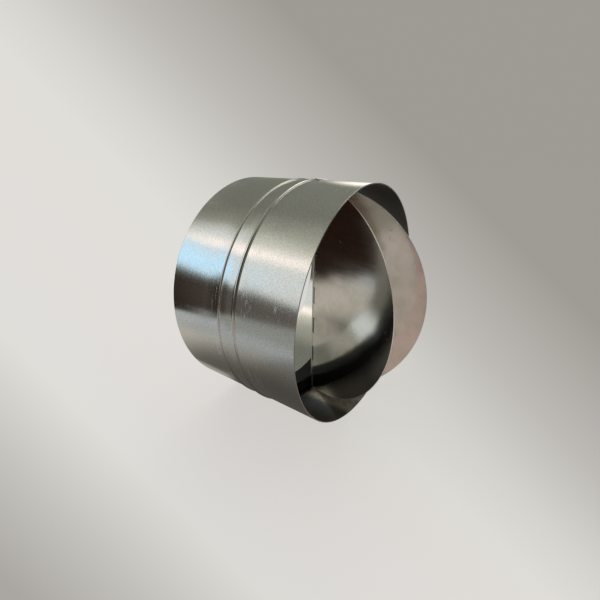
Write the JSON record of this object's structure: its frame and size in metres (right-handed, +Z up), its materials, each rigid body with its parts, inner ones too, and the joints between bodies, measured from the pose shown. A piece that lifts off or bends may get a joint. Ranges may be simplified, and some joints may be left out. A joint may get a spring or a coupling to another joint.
{
  "type": "duct backdraft damper",
  "caption": "Round galvanised duct sleeve with rolled beads, a seal ring and two hinged half-round blades that let air through one way.",
  "frame": {"origin": "centre of the sleeve's inlet end, on the duct axis", "axes": "+X along the duct axis the way the air flows, from the inlet end out of the mouth; +Z up along the hinge rod"},
  "size_m": [0.1244, 0.151, 0.1514],
  "materials": {
    "galvanised_sheet": "semi-gloss zinc",
    "blade_sheet": "semi-gloss zinc",
    "rod_steel": "dull zinc",
    "seal_rubber": "matt"
  },
  "bodies": {
    "casing": {"sleeve": "galvanised_sheet", "seal_ring": "seal_rubber", "hinge_rod": "rod_steel"},
    "near_blade": {"near_blade": "blade_sheet"},
    "far_blade": {"far_blade": "blade_sheet"}
  },
  "joints": [
    {"name": "near_blade_hinge", "type": "hinge", "parent": "casing", "child": "near_blade", "pos_m": [0.053, 0, 0], "axis": [0, 0, 1], "range_deg": [-69.4, 19.6]},
    {"name": "far_blade_hinge", "type": "hinge", "parent": "casing", "child": "far_blade", "pos_m": [0.053, 0, 0], "axis": [0, 0, 1], "range_deg": [-10.2, 78.8]}
  ]
}
